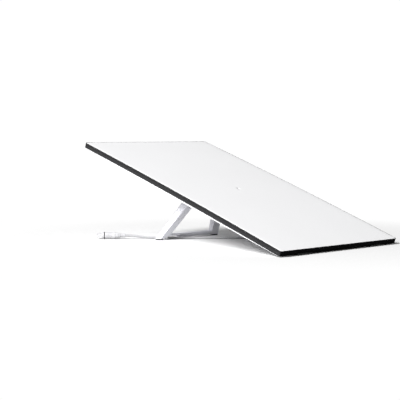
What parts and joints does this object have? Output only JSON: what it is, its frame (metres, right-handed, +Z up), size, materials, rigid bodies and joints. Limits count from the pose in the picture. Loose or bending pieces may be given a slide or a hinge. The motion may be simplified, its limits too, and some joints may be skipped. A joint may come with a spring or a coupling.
{
  "type": "satellite internet antenna",
  "caption": "Flat-panel satellite internet antenna standing on its lower edge and a folding kickstand, with its network cable.",
  "frame": {"origin": "on the floor, at the middle of the box around the antenna and its kickstand", "axes": "+X across the panel, to the right of someone facing the white face; +Y from the lower edge towards the raised upper edge; +Z up"},
  "size_m": [0.383, 0.5622, 0.2141],
  "materials": {
    "white_face": "satin moulded plastic",
    "white_cover": "fine textured moulded plastic",
    "dark_band": "fine textured, near black",
    "dark_chassis": "fine textured dark coating",
    "black_rubber": "matt",
    "grey_rubber": "matt",
    "circuit_board": "solder mask",
    "foam": "closed-cell foam",
    "chip_black": "matt",
    "stand_white": "satin moulded plastic",
    "steel": "brushed",
    "tin_can": "drawn sheet",
    "bush_plastic": "smooth bearing plastic",
    "tab_grey": "satin",
    "cable_grey": "satin jacket",
    "plug_grey": "satin",
    "socket_black": "matt"
  },
  "bodies": {
    "antenna": {"radome": "white_face", "radome_adhesive": "grey_rubber", "front_frame": "dark_band", "rim_gasket": "grey_rubber", "chassis": "dark_chassis", "patch_board": "circuit_board", "spacer": "foam", "beamformer_board": "circuit_board", "beamformer_chips": "chip_black", "thermal_pads": "grey_rubber", "rear_cover": "white_cover", "cover_seal": "black_rubber", "cover_screws": "steel", "vent_plug": "grey_rubber", "rest_pads": "black_rubber", "power_board": "circuit_board", "power_parts": "chip_black", "shield_can": "tin_can", "positioning_module": "tin_can", "board_screws": "steel", "cable_socket": "socket_black", "hinge_bracket": "steel", "hinge_bushes": "bush_plastic", "bracket_screws": "steel", "antenna_plug": "plug_grey", "antenna_plug_seal": "black_rubber", "antenna_plug_boot": "plug_grey", "antenna_plug_latch": "plug_grey", "router_plug": "plug_grey", "router_plug_seal": "black_rubber", "router_plug_boot": "plug_grey", "router_plug_latch": "plug_grey", "cable_drop": "cable_grey", "cable_floor": "cable_grey", "cable_coil": "cable_grey"},
    "kickstand": {"stand_frame": "stand_white", "foot_pad_left": "black_rubber", "foot_pad_right": "black_rubber", "latch_spring": "steel"},
    "latch_left": {"latch_pin_left": "steel", "latch_tab_left": "tab_grey"},
    "latch_right": {"latch_pin_right": "steel", "latch_tab_right": "tab_grey"}
  },
  "joints": [
    {"name": "kickstand_fold", "type": "hinge", "parent": "antenna", "child": "kickstand", "pos_m": [0, 0.07819, 0.11386], "axis": [1, 0, 0], "range_deg": [0, 77.37]},
    {"name": "latch_left_slide", "type": "slide", "parent": "kickstand", "child": "latch_left", "axis": [1, 0, 0], "range_m": [0, 0.009], "stiffness_N_per_m": 600, "springref_m": -0.008, "deforming": ["latch_spring"]},
    {"name": "latch_right_slide", "type": "slide", "parent": "kickstand", "child": "latch_right", "axis": [-1, 0, 0], "range_m": [0, 0.009], "stiffness_N_per_m": 600, "springref_m": -0.008}
  ]
}
